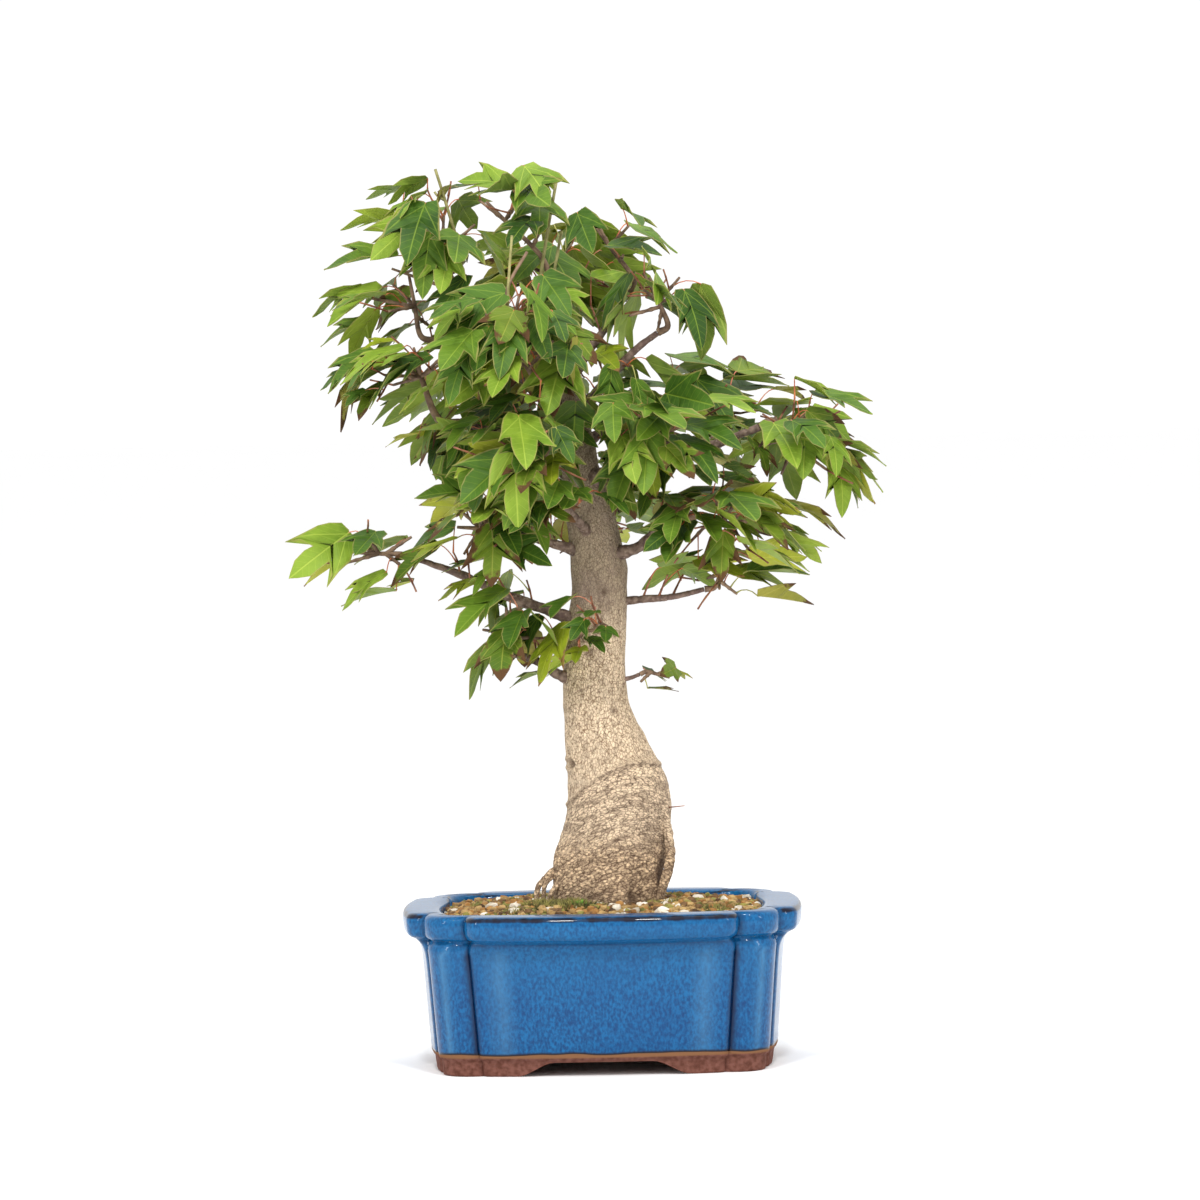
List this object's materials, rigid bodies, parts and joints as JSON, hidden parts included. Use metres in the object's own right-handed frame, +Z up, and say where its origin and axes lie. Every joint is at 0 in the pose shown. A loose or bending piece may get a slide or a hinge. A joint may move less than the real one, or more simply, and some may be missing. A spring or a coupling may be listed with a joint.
{
  "type": "trident maple bonsai",
  "caption": "Trident maple bonsai with a flared, root-gripped trunk and a full rounded crown, in a glazed rectangular pot with lobed corners.",
  "frame": {"origin": "on the surface that the pot stands on, at the middle of the whole plant's box in plan, which is also the middle of the pot", "axes": "+Z up along the trunk, +X to the right of the tree's front, +Y to its back"},
  "size_m": [0.2997, 0.1764, 0.4514],
  "materials": {
    "glaze": "glossy speckled blue glaze, dark where it thins at the edges, bare red-brown clay at the feet",
    "soil": "loose fired-clay grains with white pumice and tufts of moss",
    "bark": "matt tan bark, finely fissured, with pale pores low down",
    "leaf": "satin green leaves, paler below, some edged with brown"
  },
  "bodies": {
    "root": {"pot": "glaze", "soil": "soil", "trunk": "bark", "bough_lower_left": "bark", "bough_long_left": "bark", "bough_left_low": "bark", "bough_left_middle": "bark", "bough_left_shoulder": "bark", "bough_left_fork": "bark", "bough_top_right": "bark", "bough_right_shoulder": "bark", "bough_right_middle": "bark", "bough_right_long": "bark", "bough_right_lower": "bark", "bough_right_low": "bark", "bough_front_upper": "bark", "bough_front_lower": "bark", "bough_back_top": "bark", "bough_back_left": "bark", "bough_back_right": "bark", "bough_back_low": "bark", "sprig_right": "bark", "sprig_front": "bark", "foliage_lower_left": "leaf", "foliage_left_reach": "leaf", "foliage_left_low": "leaf", "foliage_left_middle": "leaf", "foliage_left_shoulder": "leaf", "foliage_top_left": "leaf", "foliage_apex": "leaf", "foliage_top_right": "leaf", "foliage_right_shoulder": "leaf", "foliage_right_middle": "leaf", "foliage_right_long": "leaf", "foliage_right_lower": "leaf", "foliage_right_low": "leaf", "foliage_front_upper": "leaf", "foliage_front_lower": "leaf", "foliage_back_top": "leaf", "foliage_back_left": "leaf", "foliage_back_right": "leaf", "foliage_back_low": "leaf", "leaves_right_sprig": "leaf", "leaves_front_sprig": "leaf"}
  },
  "joints": []
}
